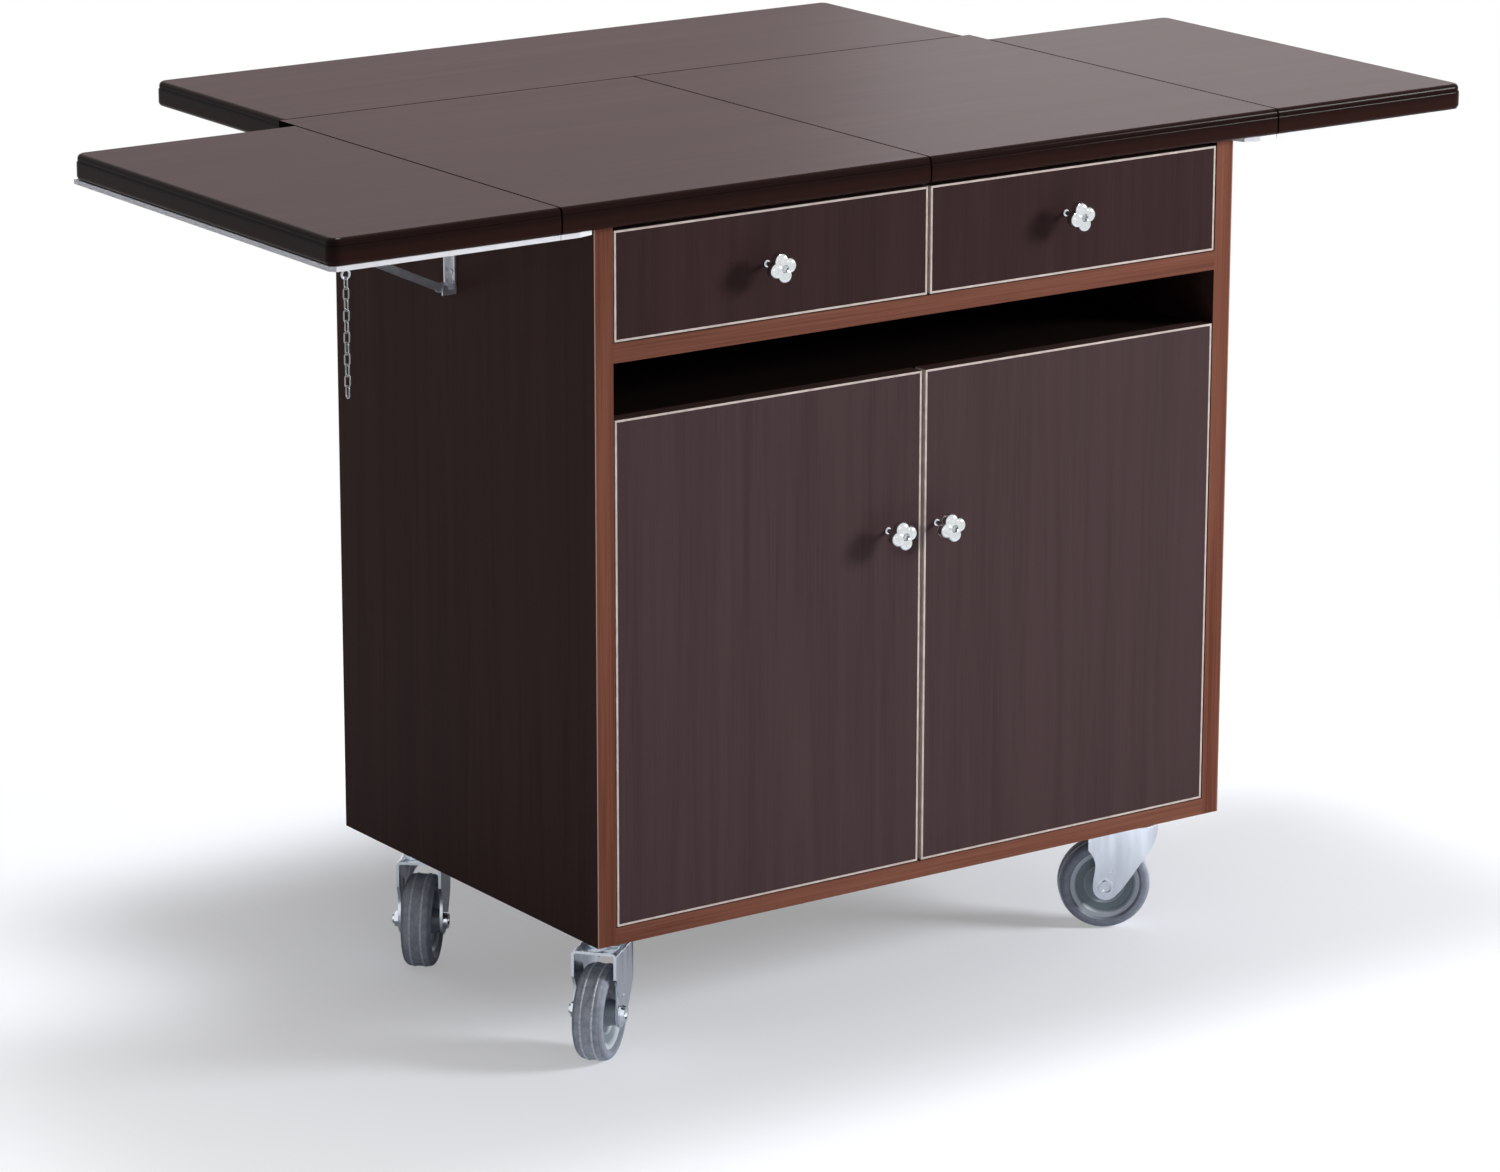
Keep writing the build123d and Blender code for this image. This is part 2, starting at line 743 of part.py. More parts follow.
def fork():
    """The pressed fork: a dome round the king pin, and two waisted legs down to the axle."""
    outer = fork_inner / 2 + fork_t
    end = caster_trail + leg_flare
    with BuildPart() as inside:
        add(fork_plan(fork_inner / 2))
        extrude(amount=crown_z - fork_t)
        fillet(inside.faces().sort_by(Axis.Z)[-1].edges(), crown_bend - fork_t)
    with BuildPart() as shell:
        add(fork_plan(outer))
        extrude(amount=crown_z)
        fillet(shell.faces().sort_by(Axis.Z)[-1].edges(), crown_bend)
        add(inside.part, mode=Mode.SUBTRACT)
        with BuildSketch(Plane.XZ.offset(-outer)):
            with BuildLine():
                skirt = (-outer, crown_z - crown_skirt)
                corner = (caster_trail + leg_end_r * cos(radians(225)), axle_z + leg_end_r * sin(radians(225)))
                Polyline(skirt, (-outer, crown_z), (end, crown_z), (end, axle_z + leg_flare_up))
                Spline((end, axle_z + leg_flare_up), (caster_trail + leg_waist, axle_z + leg_waist_up),
                       (caster_trail + leg_end_r, axle_z), tangents=((-1, -1), (0, -1)))
                CenterArc((caster_trail, axle_z), leg_end_r, 0, -135)
                Spline(corner, (leg_edge_x, axle_z + leg_edge_up), skirt, tangents=((-1, 1), (-0.2, 1)))
            make_face()
        extrude(amount=2 * outer, mode=Mode.INTERSECT)
        with BuildSketch(Plane.XY.offset(crown_z)):
            Circle(outer - crown_bend)
        extrude(amount=crown_rise, taper=20)
        with BuildSketch(Plane.XY.offset(crown_z - 2 * fork_t)):
            Circle(king_r + king_slack)
        extrude(amount=4 * fork_t, mode=Mode.SUBTRACT)
        with BuildSketch(Plane.XZ.offset(-2 * outer)):
            with Locations((caster_trail, axle_z)):
                Circle(axle_r)
        extrude(amount=4 * outer, mode=Mode.SUBTRACT)
        for side in (-1, 1):
            with BuildSketch(Plane.XZ.offset(side * outer)):
                with Locations((caster_trail - dimple_in, axle_z + dimple_up)):
                    Circle(dimple_r)
            extrude(amount=-side * dimple, mode=Mode.SUBTRACT)
    return shell.part


def tyre():
    """The tyre about its own axle line: a flat tread with two fine ribs and rounded shoulders."""
    w = tyre_w / 2
    with BuildPart() as ring:
        with BuildSketch(Plane.XZ):
            with BuildLine():
                tread = wheel_r - rib_h
                side_r = tread - tyre_shoulder
                foot_r = tyre_seat_r + tyre_seat_rise
                Polyline((side_r, -w), (foot_r, -w), (tyre_seat_r, -rim_w / 2), (tyre_seat_r, rim_w / 2),
                         (foot_r, w), (side_r, w))
                Spline((side_r, w), (tread - tyre_round, w - 1.5 * tyre_round), (tread, w - tyre_shoulder),
                       tangents=((1, 0), (0, -1)))
                Line((tread, w - tyre_shoulder), (tread, -w + tyre_shoulder))
                Spline((tread, -w + tyre_shoulder), (tread - tyre_round, -w + 1.5 * tyre_round), (side_r, -w),
                       tangents=((0, -1), (-1, 0)))
            make_face()
            for x in (-rib_at, rib_at):
                with Locations((wheel_r - rib_h, x)):
                    Rectangle(2 * rib_h, rib_w)
        revolve(axis=Axis.Z)
    return ring.part


def rim():
    """The wheel core: a flanged rim, a thinner web with a raised ring, and the hub."""
    with BuildPart() as core:
        with BuildSketch(Plane.XZ):
            with BuildLine():
                half_side = [(axle_r + axle_slack, hub_w / 2), (hub_r, hub_w / 2), (hub_r + hub_draft, web_t),
                             (web_root_r, web_t - web_dip), (web_inner_r, web_t), (web_outer_r, web_t),
                             (flange_r, rim_w / 2), (tyre_seat_r, rim_w / 2)]
                Polyline(*half_side, *[(r, -h) for r, h in reversed(half_side)], close=True)
            make_face()
        revolve(axis=Axis.Z)
    return core.part


def axle():
    """The axle bolt: shank, dished head and a hexagon nut."""
    outer = fork_inner / 2 + fork_t
    with BuildPart() as bolt:
        with BuildSketch(Plane.XY.offset(-outer)):
            Circle(axle_r)
        extrude(amount=2 * outer + bolt_tail)
        with BuildSketch(Plane.XY.offset(-outer)):
            Circle(bolt_head_r)
        extrude(amount=-bolt_head_t, taper=12)
        with BuildSketch(Plane.XY.offset(-outer - bolt_head_t)):
            Circle(bolt_dish_r)
        extrude(amount=bolt_dish, taper=30, mode=Mode.SUBTRACT)
        with BuildSketch(Plane.XY.offset(outer)):
            RegularPolygon(nut_r, 6)
        extrude(amount=nut_t)
    return bolt.part


# Casters
on_axle = Location((caster_trail, 0, axle_z), (90, 0, 0))
pieces = {"fork": fork(), "tyre": on_axle * tyre(), "rim": on_axle * rim(), "axle": on_axle * axle()}
heads = []
for name, turn in caster_turn.items():
    x = -caster_x if name.endswith("left") else caster_x
    y = caster_front_y if name.startswith("front") else caster_rear_y
    heads.append(Location((x, front + y, 0)) * caster_plate())
    for piece, shape in pieces.items():
        save(Location((x, front + y, 0), (0, 0, turn)) * shape, f"caster_{name}_{piece}")
save_group(heads, "caster_plates")
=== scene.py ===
import math

import bpy
import numpy as np
from mathutils import Matrix, Vector


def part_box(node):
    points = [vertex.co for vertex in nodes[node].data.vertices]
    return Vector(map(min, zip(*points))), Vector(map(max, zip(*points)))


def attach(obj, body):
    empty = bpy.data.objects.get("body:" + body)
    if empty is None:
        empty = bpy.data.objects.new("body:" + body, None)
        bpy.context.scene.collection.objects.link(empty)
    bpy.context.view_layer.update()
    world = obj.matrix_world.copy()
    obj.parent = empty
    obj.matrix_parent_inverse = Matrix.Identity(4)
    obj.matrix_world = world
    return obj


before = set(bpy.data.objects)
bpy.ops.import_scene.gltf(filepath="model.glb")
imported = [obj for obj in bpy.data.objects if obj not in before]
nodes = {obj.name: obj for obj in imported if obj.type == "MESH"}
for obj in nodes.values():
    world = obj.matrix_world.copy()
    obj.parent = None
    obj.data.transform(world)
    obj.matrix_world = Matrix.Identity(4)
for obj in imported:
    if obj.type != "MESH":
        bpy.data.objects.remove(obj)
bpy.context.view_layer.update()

# Places taken from the frame, in metres; the cart's front looks along -Y and its wheels stand on z = 0
CABINET_LOW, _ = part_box("side_panel_left")
FRONT = CABINET_LOW[1]
BASE = CABINET_LOW[2]
HALF = -CABINET_LOW[0]
TOP_LOW, TOP_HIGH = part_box("top_left")
TOP_UNDER = TOP_LOW[2]
TOP_FACE = TOP_HIGH[2]
WHEEL_R = (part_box("caster_front_left_tyre")[1][2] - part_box("caster_front_left_tyre")[0][2]) / 2
JOINT_X = (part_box("top_right")[1][0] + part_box("leaf_right")[0][0]) / 2
JOINT_Y = (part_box("top_left")[1][1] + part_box("leaf_rear")[0][1]) / 2
SPLIT_X = (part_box("top_left")[1][0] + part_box("top_right")[0][0]) / 2
CORNERS = ("front_left", "front_right", "rear_left", "rear_right")

# Painted details, in metres
ARRIS = 0.0012
JOINT_SHADE = 0.0013
TREAD_R = 0.0484
RIB_AT = 0.006
RIB_HALF = 0.0011

# Plate bolts, in metres; the hex narrows to HEX_TIP of its radius over the last part of its height
PLATE_X = 0.090
PLATE_Y = 0.066
PLATE_T = 0.003
BOLT_IN = 0.011
WASHER_R = 0.0080
WASHER_H = 0.0012
HEX_R = 0.0062
HEX_H = 0.0042
HEX_STRAIGHT = 0.8
HEX_TIP = 0.86
RING_POINTS = 24
HEX_SIDE = math.pi / 3

SMOOTH_BELOW = math.radians(32)


def srgb(r, g, b):
    """A colour given in display values 0-255, as linear values."""
    out = []
    for c in (r, g, b):
        c = c / 255
        out.append(c / 12.92 if c <= 0.04045 else ((c + 0.055) / 1.055) ** 2.4)
    return (*out, 1.0)


def grey(v):
    return (v, v, v, 1.0)


# Tones of the wood grain: dark, middle, light
PANEL = (srgb(56, 42, 42), srgb(62, 47, 48), srgb(67, 51, 52))
# The drawer fronts take the panel's tones made darker: painted shade from the worktop's overhang
DRAWER_SHADE_TONES = (srgb(44, 29, 29), srgb(49, 33, 33), srgb(54, 37, 37))
SIDE = (srgb(44, 29, 26), srgb(51, 34, 30), srgb(58, 40, 35))
SHADED = (srgb(18, 13, 12), srgb(22, 16, 15), srgb(27, 20, 18))
BROWN = (srgb(84, 47, 35), srgb(104, 63, 49), srgb(118, 76, 60))
WORKTOP = (srgb(45, 30, 31), srgb(51, 35, 36), srgb(58, 41, 42))

# Other tones; pairs are the dark and light ends of a drift
# Pale line painted along the outer front arris of the side panels: a painted highlight
ARRIS_HIGHLIGHT = srgb(168, 138, 124)
# The moulded edge's lower half is painted lighter than its upper: a painted reflection in its gloss
EDGE_LOWER_PAINTED_REFLECTION = srgb(36, 18, 14)
EDGE_UPPER = srgb(26, 13, 11)
JOINT_DARK = srgb(14, 9, 8)
CREAM = (srgb(170, 155, 147), srgb(190, 177, 169))
# Darker tone on the edging's upward-facing faces
UPWARD_EDGE_DARK = srgb(62, 46, 42)
RUBBER = (srgb(116, 120, 132), srgb(140, 145, 157))
SCUFFED = (srgb(152, 157, 168), srgb(186, 190, 199))
RIB_PALE = srgb(232, 235, 240)
RIM_STAIN = srgb(90, 98, 106)
FLOOR_TONE = srgb(236, 240, 250)

# Rings of tone on a wheel core, by share of the wheel's radius
RIM_RINGS = [
    (0.00, srgb(126, 134, 142)),
    (0.39, srgb(140, 148, 156)),
    (0.41, srgb(178, 186, 194)),
    (0.44, srgb(178, 186, 194)),
    (0.46, srgb(104, 118, 124)),
    (0.61, srgb(112, 126, 132)),
    (0.66, srgb(186, 192, 200)),
    (0.75, srgb(198, 204, 210)),
    (0.77, srgb(52, 54, 60)),
]


# Materials
class Shader:
    """Builds one material's nodes; values may be plain or the output of another node."""

    def __init__(self, name, rough=0.5, metal=0.0, spec=0.5):
        self.mat = bpy.data.materials.new(name)
        self.mat.use_nodes = True
        self.tree = self.mat.node_tree
        self.bsdf = self.tree.nodes["Principled BSDF"]
        self.bsdf.inputs["Roughness"].default_value = rough
        self.bsdf.inputs["Metallic"].default_value = metal
        self.bsdf.inputs["Specular IOR Level"].default_value = spec
        self.coord = self.tree.nodes.new("ShaderNodeTexCoord")

    def node(self, kind, **values):
        made = self.tree.nodes.new(kind)
        for key, value in values.items():
            setattr(made, key, value)
        return made

    def link(self, a, b):
        self.tree.links.new(a, b)

    def put(self, socket, value):
        if isinstance(value, bpy.types.NodeSocket):
            self.link(value, socket)
        else:
            socket.default_value = value

    def mapped(self, scale=(1, 1, 1), move=(0, 0, 0)):
        """Object coordinates, scaled and moved."""
        m = self.node("ShaderNodeMapping")
        m.inputs["Scale"].default_value = scale
        m.inputs["Location"].default_value = move
        self.link(self.coord.outputs["Object"], m.inputs["Vector"])
        return m.outputs["Vector"]

    def noise(self, vector, scale, detail, rough, distort=0.0):
        n = self.node("ShaderNodeTexNoise")
        self.link(vector, n.inputs["Vector"])
        n.inputs["Scale"].default_value = scale
        n.inputs["Detail"].default_value = detail
        n.inputs["Roughness"].default_value = rough
        n.inputs["Distortion"].default_value = distort
        return n.outputs["Fac"]

    def ramp(self, fac, stops):
        r = self.node("ShaderNodeValToRGB")
        self.link(fac, r.inputs["Fac"])
        first, last = stops[0], stops[-1]
        r.color_ramp.elements[0].position, r.color_ramp.elements[0].color = first
        r.color_ramp.elements[1].position, r.color_ramp.elements[1].color = last
        for pos, col in stops[1:-1]:
            e = r.color_ramp.elements.new(pos)
            e.color = col
        return r.outputs["Color"]

    def math(self, op, a, b=0.0):
        m = self.node("ShaderNodeMath", operation=op)
        self.put(m.inputs[0], a)
        self.put(m.inputs[1], b)
        return m.outputs[0]

    def vector(self, op, a, b=(0.0, 0.0, 0.0)):
        m = self.node("ShaderNodeVectorMath", operation=op)
        self.put(m.inputs[0], a)
        self.put(m.inputs[1], b)
        return m.outputs["Value"] if op in ("DOT_PRODUCT", "LENGTH") else m.outputs["Vector"]

    def mix(self, fac, a, b):
        m = self.node("ShaderNodeMix", data_type="RGBA")
        self.put(m.inputs[0], fac)
        self.put(m.inputs[6], a)
        self.put(m.inputs[7], b)
        return m.outputs[2]

    def xyz(self, what="Object"):
        s = self.node("ShaderNodeSeparateXYZ")
        self.link(self.coord.outputs[what], s.inputs[0])
        return s.outputs

    def above(self, value, limit, soft=0.0):
        """1 where value is over limit; soft is half the width of a gradual step."""
        if not soft:
            return self.math("GREATER_THAN", value, limit)
        r = self.node("ShaderNodeMapRange")
        self.put(r.inputs["Value"], value)
        r.inputs["From Min"].default_value = limit - soft
        r.inputs["From Max"].default_value = limit + soft
        return r.outputs["Result"]

    def near(self, value, place, half):
        """1 within half of a place along one axis."""
        off = self.math("ABSOLUTE", self.math("SUBTRACT", value, place))
        return self.math("LESS_THAN", off, half)

    def colour(self, value):
        self.put(self.bsdf.inputs["Base Color"], value)

    def roughness(self, value):
        self.put(self.bsdf.inputs["Roughness"], value)

    def uneven_roughness(self, field, middle, spread):
        """Roughness that follows a field of 0 to 1, by spread in all."""
        self.roughness(self.math("ADD", self.math("MULTIPLY", field, spread), middle - spread / 2))

    def bump(self, height, strength, distance):
        b = self.node("ShaderNodeBump")
        b.inputs["Strength"].default_value = strength
        b.inputs["Distance"].default_value = distance
        self.link(height, b.inputs["Height"])
        self.link(b.outputs["Normal"], self.bsdf.inputs["Normal"])


def streaks(axis, along, across):
    """Noise scales that draw streaks out along one axis."""
    return tuple(along if letter == axis else across for letter in "xyz")


def grain(s, along, tones, seed):
    """Fine straight wood grain along one axis over slow broad figure; returns a colour and a height."""
    dark, base, light = tones
    fine = s.mapped(streaks(along, 5, 620), move=(seed, seed, seed))
    broad = s.mapped(streaks(along, 1.6, 46), move=(seed, 0, seed))
    thin = s.noise(fine, 1.0, 3.0, 0.6, distort=0.2)
    wide = s.noise(broad, 1.0, 3.0, 0.55, distort=0.9)
    both = s.math("ADD", s.math("MULTIPLY", thin, 0.5), s.math("MULTIPLY", wide, 0.5))
    return s.ramp(both, [(0.34, dark), (0.5, base), (0.68, light)]), both


def board(name, along, tones=PANEL, brown_front=False, seed=0.0, spec=0.05):
    """Dark laminated board; brown_front gives its front edge a brown strip with a pale painted highlight
    along its outer arris.
    """
    s = Shader(name, spec=spec)
    colour, height = grain(s, along, tones, seed)
    if brown_front:
        brown, _ = grain(s, along, BROWN, seed + 3.0)
        facing = s.math("LESS_THAN", s.xyz("Normal")[1], -0.5)
        colour = s.mix(facing, colour, brown)
        # The front edge's outermost strip is painted pale: a painted highlight on the arris
        out = s.above(s.math("ABSOLUTE", s.xyz()[0]), HALF - ARRIS)
        highlight_share = s.math("MULTIPLY", s.math("MULTIPLY", out, facing), 0.6)
        colour = s.mix(highlight_share, colour, ARRIS_HIGHLIGHT)
    s.colour(colour)
    s.uneven_roughness(height, 0.44, 0.12)
    s.bump(height, 0.05, 0.0003)
    return s.mat


def worktop(name):
    """Satin laminate with dark joint lines; its moulded edge is smoother, near black above a lighter
    red-brown lower half that is a painted reflection.
    """
    s = Shader(name)
    colour, height = grain(s, "x", WORKTOP, 1.7)
    flat = s.above(s.xyz("Normal")[2], 0.985, soft=0.01)
    place = s.xyz()
    # Lower half of the moulded edge lighter than the upper: painted reflection
    upper = s.above(place[2], (TOP_FACE + TOP_UNDER) / 2, soft=0.003)
    edge = s.mix(upper, EDGE_LOWER_PAINTED_REFLECTION, EDGE_UPPER)

    side_joints = s.near(s.math("ABSOLUTE", place[0]), JOINT_X, JOINT_SHADE)
    rear_joint = s.near(place[1], JOINT_Y, JOINT_SHADE)
    split = s.near(place[0], SPLIT_X, JOINT_SHADE)
    split = s.math("MULTIPLY", split, s.math("LESS_THAN", place[1], JOINT_Y))
    joint = s.math("MAXIMUM", s.math("MAXIMUM", side_joints, rear_joint), split)

    s.colour(s.mix(s.math("MULTIPLY", joint, 0.85), s.mix(flat, edge, colour), JOINT_DARK))
    s.roughness(s.mix(flat, grey(0.12), grey(0.38)))
    gloss = s.mix(joint, s.mix(flat, grey(0.04), grey(0.025)), grey(0.0))
    s.put(s.bsdf.inputs["Specular IOR Level"], gloss)
    s.bump(height, 0.03, 0.0003)
    return s.mat


def edging(name):
    """Thin pale plastic strip, cream where it faces forward and darker on its upward-facing edge."""
    s = Shader(name, rough=0.38, spec=0.3)
    drift = s.noise(s.mapped(), 90.0, 3.0, 0.6)
    cream = s.ramp(drift, [(0.35, CREAM[0]), (0.65, CREAM[1])])
    upward = s.above(s.xyz("Normal")[2], 0.6)
    s.colour(s.mix(upward, cream, UPWARD_EDGE_DARK))
    return s.mat


def worn(name, colour, rough, metal=0.0, wear=0.15, scale=60.0, stretch=(1, 1, 1), ripple=0.0):
    """A finish whose tone and gloss drift a little; ripple gives pressed sheet its soft upright bands."""
    s = Shader(name, metal=metal)
    drift = s.noise(s.mapped(stretch), scale, 4.0, 0.6)
    low = tuple(c * (1 - wear) for c in colour[:3]) + (1.0,)
    s.colour(s.ramp(drift, [(0.35, low), (0.65, colour)]))
    s.uneven_roughness(drift, rough, 0.14)
    if ripple:
        bands = s.noise(s.mapped((1, 1, 0.12)), 90.0, 1.0, 0.4)
        s.bump(bands, ripple, 0.004)
    return s.mat


def wheel_axis(corner):
    """Centre of a wheel and the direction of its axle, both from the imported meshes."""
    low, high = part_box(f"caster_{corner}_tyre")
    centre = (low + high) / 2
    verts = nodes[f"caster_{corner}_axle"].data.vertices
    points = np.array([v.co for v in verts], float)
    spread = points - points.mean(0)
    values, vectors = np.linalg.eigh(spread.T @ spread)
    return centre, Vector(vectors[:, int(np.argmax(values))])


def wheel_fields(s, corner):
    """Distance from the axle and place along it, for a material on one wheel."""
    centre, axis = wheel_axis(corner)
    away = s.vector("SUBTRACT", s.coord.outputs["Object"], tuple(centre))
    along = s.vector("DOT_PRODUCT", away, tuple(axis))
    square = s.vector("DOT_PRODUCT", away, away)
    radius = s.math("SQRT", s.math("SUBTRACT", square, s.math("MULTIPLY", along, along)))
    return radius, along


def tyre(corner):
    """Grey rubber with a scuffed tread and two ragged pale ribs round it."""
    s = Shader(f"tyre_{corner}", rough=0.6, spec=0.3)
    radius, along = wheel_fields(s, corner)
    drift = s.noise(s.mapped(), 120.0, 4.0, 0.65)
    rubber = s.ramp(drift, [(0.3, RUBBER[0]), (0.7, RUBBER[1])])
    scuffed = s.ramp(drift, [(0.35, SCUFFED[0]), (0.65, SCUFFED[1])])
    tread = s.above(radius, TREAD_R, soft=0.0006)
    rib = s.math("MULTIPLY", s.near(s.math("ABSOLUTE", along), RIB_AT, RIB_HALF), tread)
    ragged = s.above(s.noise(s.mapped(), 420.0, 2.0, 0.6), 0.45, soft=0.08)
    rib = s.math("MULTIPLY", rib, s.math("ADD", s.math("MULTIPLY", ragged, 0.6), 0.3))
    s.colour(s.mix(rib, s.mix(tread, rubber, scuffed), RIB_PALE))
    s.bump(drift, 0.12, 0.0004)
    return s.mat


def rim(corner):
    """Grey plastic wheel core with rings of tone."""
    s = Shader(f"rim_{corner}", rough=0.36)
    radius, _ = wheel_fields(s, corner)
    rings = s.ramp(s.math("DIVIDE", radius, WHEEL_R), RIM_RINGS)
    drift = s.noise(s.mapped(), 90.0, 3.0, 0.6)
    s.colour(s.mix(s.math("MULTIPLY", drift, 0.25), rings, RIM_STAIN))
    return s.mat


MATERIALS = {
    "panel": board("panel_laminate", "z"),
    # Drawer fronts in darker tones: painted shade
    "drawer": board("drawer_laminate_painted_shade", "z", tones=DRAWER_SHADE_TONES, seed=7.0, spec=0.03),
    "level": board("shelf_laminate", "x", tones=SHADED, seed=5.0, spec=0.02),
    "back": board("back_laminate", "z", tones=SIDE, seed=9.0),
    "side": board("side_panel", "z", tones=SIDE, brown_front=True, seed=2.0, spec=0.02),
    "rail": board("front_rail", "x", tones=SIDE, brown_front=True, seed=4.0),
    "worktop": worktop("worktop_laminate"),
    "sheet": worn("pale_sheet", srgb(214, 214, 216), 0.45, wear=0.08, scale=24.0),
    "edging": edging("edging"),
    "raw": worn("raw_wood", srgb(176, 146, 108), 0.6, wear=0.25, scale=6.0, stretch=(2, 40, 40)),
    "chrome": worn("chrome", srgb(224, 228, 230), 0.1, metal=1.0, wear=0.14, scale=220.0),
    "zinc": worn("zinc", srgb(222, 228, 236), 0.2, metal=1.0, wear=0.08, scale=40.0,
                 stretch=(3, 3, 0.5), ripple=0.4),
    "chain": worn("chain_links", srgb(150, 152, 154), 0.34, metal=0.9, wear=0.3, scale=300.0),
    "steel": worn("steel_fittings", srgb(200, 203, 208), 0.3, metal=0.75, scale=120.0),
}
for corner in CORNERS:
    MATERIALS[f"tyre_{corner}"] = tyre(corner)
    MATERIALS[f"rim_{corner}"] = rim(corner)


def pick(name):
    """The key of the material that a node of the frame is shown in."""
    if name.startswith("side_panel"):
        return "side"
    if name in ("bottom_panel", "drawer_deck"):
        return "rail"
    if name in ("top_left", "top_right", "leaf_left", "leaf_right", "leaf_rear"):
        return "worktop"
    if name.endswith("_sheet") or name == "overhang_strips":
        return "sheet"
    if name.endswith("_edging"):
        return "edging"
    if name.endswith("_box") or name in ("drawer_runners", "shelf_cleats"):
        return "raw"
    if name.endswith("_knob"):
        return "chrome"
    for corner in CORNERS:
        if name == f"caster_{corner}_tyre":
            return f"tyre_{corner}"
        if name == f"caster_{corner}_rim":
            return f"rim_{corner}"
    if name.startswith("caster"):
        return "zinc"
    if name == "chain_links":
        return "chain"
    if name.startswith("bracket") or "fittings" in name or "hinge" in name:
        return "steel"
    if name == "slot_shelf":
        return "level"
    if name == "back_panel":
        return "back"
    if name in ("drawer_left_front", "drawer_right_front"):
        return "drawer"
    return "panel"


for name, obj in nodes.items():
    obj.data.materials.clear()
    obj.data.materials.append(MATERIALS[pick(name)])
    for poly in obj.data.polygons:
        poly.use_smooth = True
    obj.data.set_sharp_from_angle(angle=SMOOTH_BELOW)


# Hex bolts that hold each caster plate, seen from below
def ring(radius, z, x, y, hexagonal):
    """Points round (x, y) at height z, on a circle or on a hexagon whose corners lie at radius."""
    points = []
    for k in range(RING_POINTS):
        turn = 2 * math.pi * k / RING_POINTS
        reach = radius
        if hexagonal:
            off_middle = turn % HEX_SIDE - HEX_SIDE / 2
            reach = radius * math.cos(HEX_SIDE / 2) / math.cos(off_middle)
        points.append((x + reach * math.cos(turn), y + reach * math.sin(turn), z))
    return points


def hex_bolt(name, x, y, z):
    """A chamfered hex head on a washer, hanging below the plate face at z."""
    washer_end = z - WASHER_H
    rings = [
        ring(WASHER_R, z, x, y, False),
        ring(WASHER_R, washer_end, x, y, False),
        ring(HEX_R, washer_end, x, y, True),
        ring(HEX_R, washer_end - HEX_H * HEX_STRAIGHT, x, y, True),
        ring(HEX_R * HEX_TIP, washer_end - HEX_H, x, y, True),
    ]
    verts = [point for points in rings for point in points]
    faces = [tuple(range(RING_POINTS))]
    for level in range(len(rings) - 1):
        for k in range(RING_POINTS):
            a = level * RING_POINTS + k
            b = level * RING_POINTS + (k + 1) % RING_POINTS
            faces.append((a, a + RING_POINTS, b + RING_POINTS, b))
    last = (len(rings) - 1) * RING_POINTS
    faces.append(tuple(last + k for k in reversed(range(RING_POINTS))))
    mesh = bpy.data.meshes.new(name)
    mesh.from_pydata(verts, [], faces)
    mesh.update()
    piece = bpy.data.objects.new(name, mesh)
    bpy.context.scene.collection.objects.link(piece)
    mesh.materials.append(MATERIALS["steel"])
    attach(piece, "cabinet")


def plate_centre(corner):
    """Centre of a caster's plate, from the extremes of the node that holds all four."""
    low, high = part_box("caster_plates")
    x = high[0] - PLATE_X / 2 if corner.endswith("right") else low[0] + PLATE_X / 2
    y = low[1] + PLATE_Y / 2 if corner.startswith("front") else high[1] - PLATE_Y / 2
    return x, y


for corner in CORNERS:
    cx, cy = plate_centre(corner)
    for sx, side in ((-1, "l"), (1, "r")):
        for sy, end in ((-1, "f"), (1, "b")):
            x = cx + sx * (PLATE_X / 2 - BOLT_IN)
            y = cy + sy * (PLATE_Y / 2 - BOLT_IN)
            hex_bolt(f"plate_bolt_{corner}_{side}{end}", x, y, BASE - PLATE_T)


# Floor: to the camera it is WHITE_NEAR plain white where the shadow lies, and all white further out
FLOOR_SIZE = 60
WHITE_NEAR = 0.32
FAR_AT = 0.98
FAR_SOFT = 0.62

bpy.ops.mesh.primitive_plane_add(size=FLOOR_SIZE, location=(0, 0, 0))
floor = bpy.context.object
floor.name = "floor"
fs = Shader("floor", rough=0.9, spec=0.1)
fs.colour(FLOOR_TONE)
far = fs.above(fs.vector("LENGTH", fs.coord.outputs["Object"]), FAR_AT, soft=FAR_SOFT)
whiteness = fs.math("ADD", fs.math("MULTIPLY", far, 1.0 - WHITE_NEAR), WHITE_NEAR)
paths = fs.node("ShaderNodeLightPath").outputs
mirrored = fs.math("MAXIMUM", paths["Is Glossy Ray"], paths["Is Transmission Ray"])
in_camera = fs.math("MULTIPLY", whiteness, paths["Is Camera Ray"])
in_metal = fs.math("MULTIPLY", far, mirrored)
white = fs.node("ShaderNodeEmission")
white.inputs["Strength"].default_value = 1.0
both = fs.node("ShaderNodeMixShader")
fs.link(fs.math("MAXIMUM", in_camera, in_metal), both.inputs[0])
fs.link(fs.bsdf.outputs[0], both.inputs[1])
fs.link(white.outputs[0], both.inputs[2])
fs.link(both.outputs[0], fs.tree.nodes["Material Output"].inputs["Surface"])
floor.data.materials.append(fs.mat)


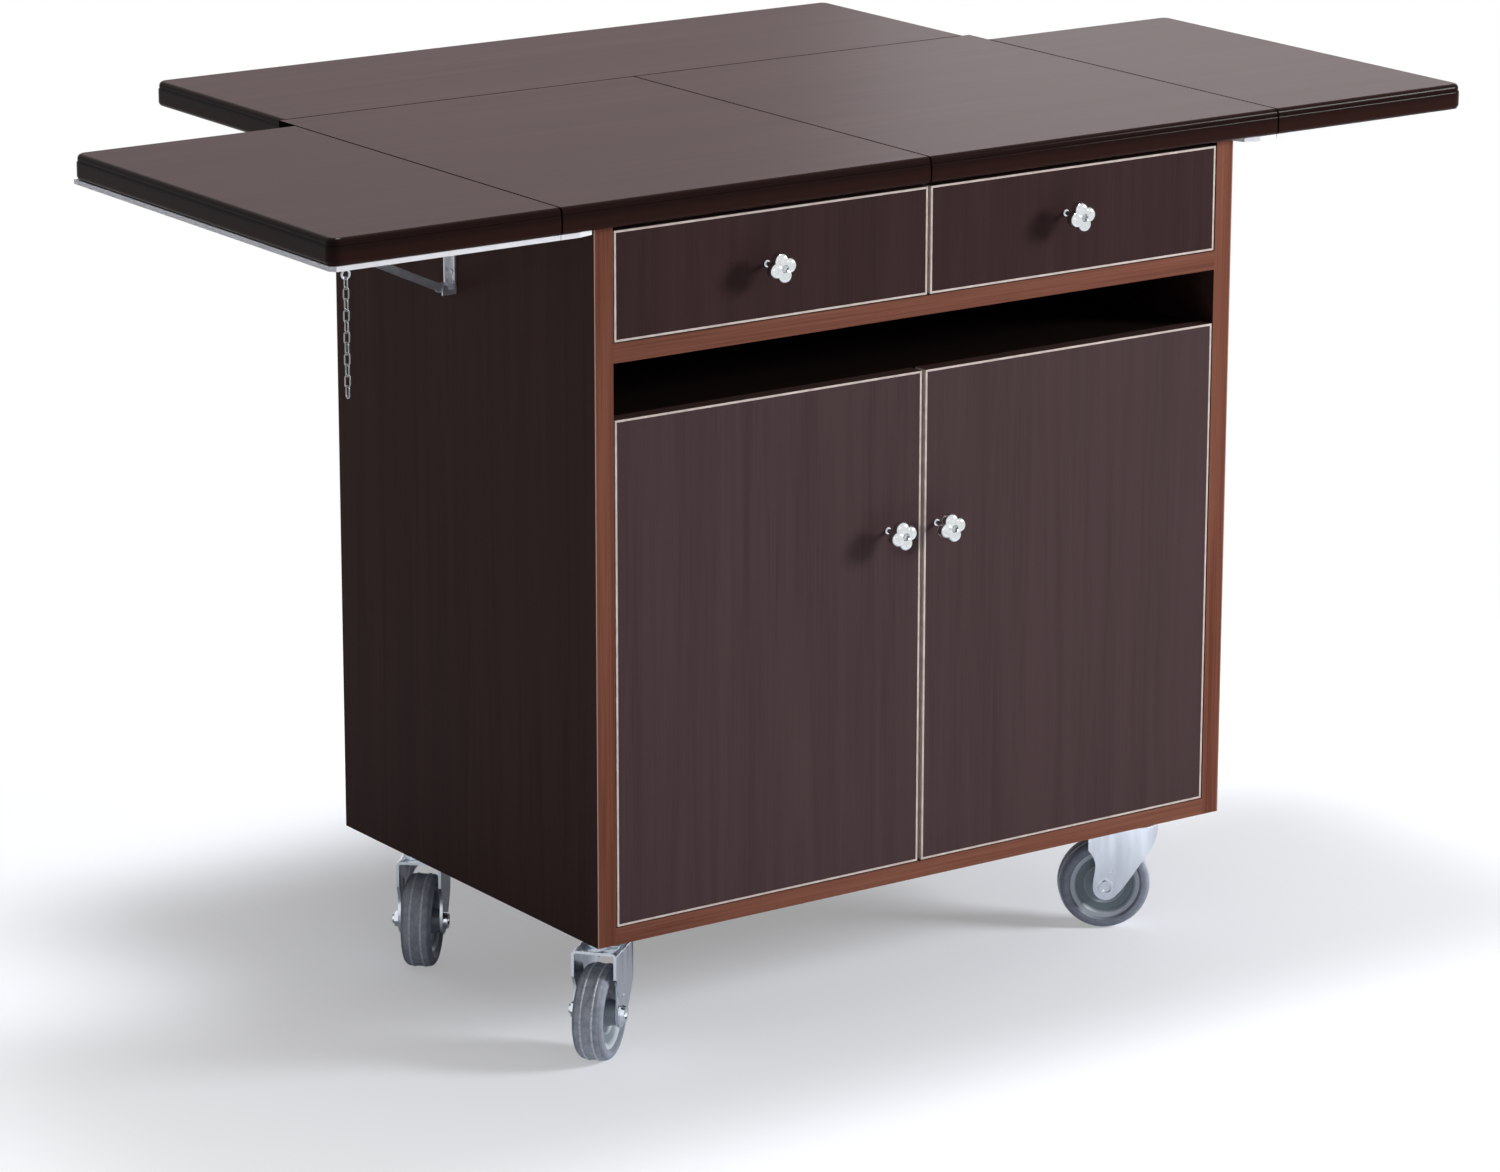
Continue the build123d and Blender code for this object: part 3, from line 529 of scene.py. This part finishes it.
# Lamps: name, place, target, width and height in metres, watts
SEEN_IN_TOP = Vector((0.5507, 0.7906, 0.2679))
TOP_RIGHT = Vector((0.85, -0.1, TOP_FACE))
LAMPS = (
    ("key", (3.6, -3.3, 2.1), (0, 0, 0.55), 1.3, 1.3, 260),
    ("overhead", (0.25, 0.35, 3.7), (0, 0, 0.5), 0.9, 0.8, 150),
    ("low_back", TOP_RIGHT + SEEN_IN_TOP * 2.2, TOP_RIGHT, 1.1, 0.5, 4),
    ("corner_strip_left", (-4.7, -3.6, 2.6), (0, 0, 0.7), 0.3, 0.6, 4),
    ("corner_strip_right", (-2.3, -5.4, 2.6), (0, 0, 0.7), 0.3, 0.6, 4),
)
for name, place, target, width, height, watts in LAMPS:
    data = bpy.data.lights.new(name, "AREA")
    data.shape = "RECTANGLE"
    data.size = width
    data.size_y = height
    data.energy = watts
    light = bpy.data.objects.new(name, data)
    light.location = place
    light.rotation_euler = (Vector(target) - Vector(place)).to_track_quat("-Z", "Y").to_euler()
    light.visible_camera = False
    bpy.context.scene.collection.objects.link(light)


# World: camera, glossy and transmission rays meet a white of 1; only the ambient level lights the cart
AMBIENT = 0.16

world = bpy.data.worlds.new("studio")
bpy.context.scene.world = world
world.use_nodes = True
back = world.node_tree.nodes["Background"]
back.inputs["Color"].default_value = grey(1.0)
world_paths = world.node_tree.nodes.new("ShaderNodeLightPath").outputs


def brighter(a, b):
    """The higher of two strengths in the world's nodes; b may be a plain value."""
    m = world.node_tree.nodes.new("ShaderNodeMath")
    m.operation = "MAXIMUM"
    world.node_tree.links.new(a, m.inputs[0])
    if isinstance(b, bpy.types.NodeSocket):
        world.node_tree.links.new(b, m.inputs[1])
    else:
        m.inputs[1].default_value = b
    return m.outputs[0]


mirrored_world = brighter(world_paths["Is Glossy Ray"], world_paths["Is Transmission Ray"])
shown = brighter(world_paths["Is Camera Ray"], mirrored_world)
world.node_tree.links.new(brighter(shown, AMBIENT), back.inputs["Strength"])


# Camera, fitted to the photo's straight edges; placed from the middle of the cabinet's front lower edge
CAMERA_PLACE = Vector((-3.39644, -4.56771, 1.89686))
CAMERA_RIGHT = Vector((0.82076814, -0.57126011, 0.00124433))
CAMERA_UP = Vector((0.15206316, 0.22057805, 0.96344285))
CAMERA_LOOK = Vector((0.55065094, 0.79057398, -0.26791105))
FOCAL_PX = 5752.167
PHOTO_WIDTH_PX = 1500
SENSOR_MM = 36.0

scene = bpy.context.scene
scene.view_settings.view_transform = "Standard"
cam_data = bpy.data.cameras.new("camera")
cam = bpy.data.objects.new("camera", cam_data)
scene.collection.objects.link(cam)
cam_data.sensor_width = SENSOR_MM
cam_data.lens = FOCAL_PX / PHOTO_WIDTH_PX * SENSOR_MM
cam_data.clip_start = 0.1
cam_data.clip_end = 100.0
turn = Matrix((CAMERA_RIGHT, CAMERA_UP, -CAMERA_LOOK)).transposed().to_4x4()
turn.translation = CAMERA_PLACE + Vector((0.0, FRONT, BASE))
cam.matrix_world = turn
scene.camera = cam
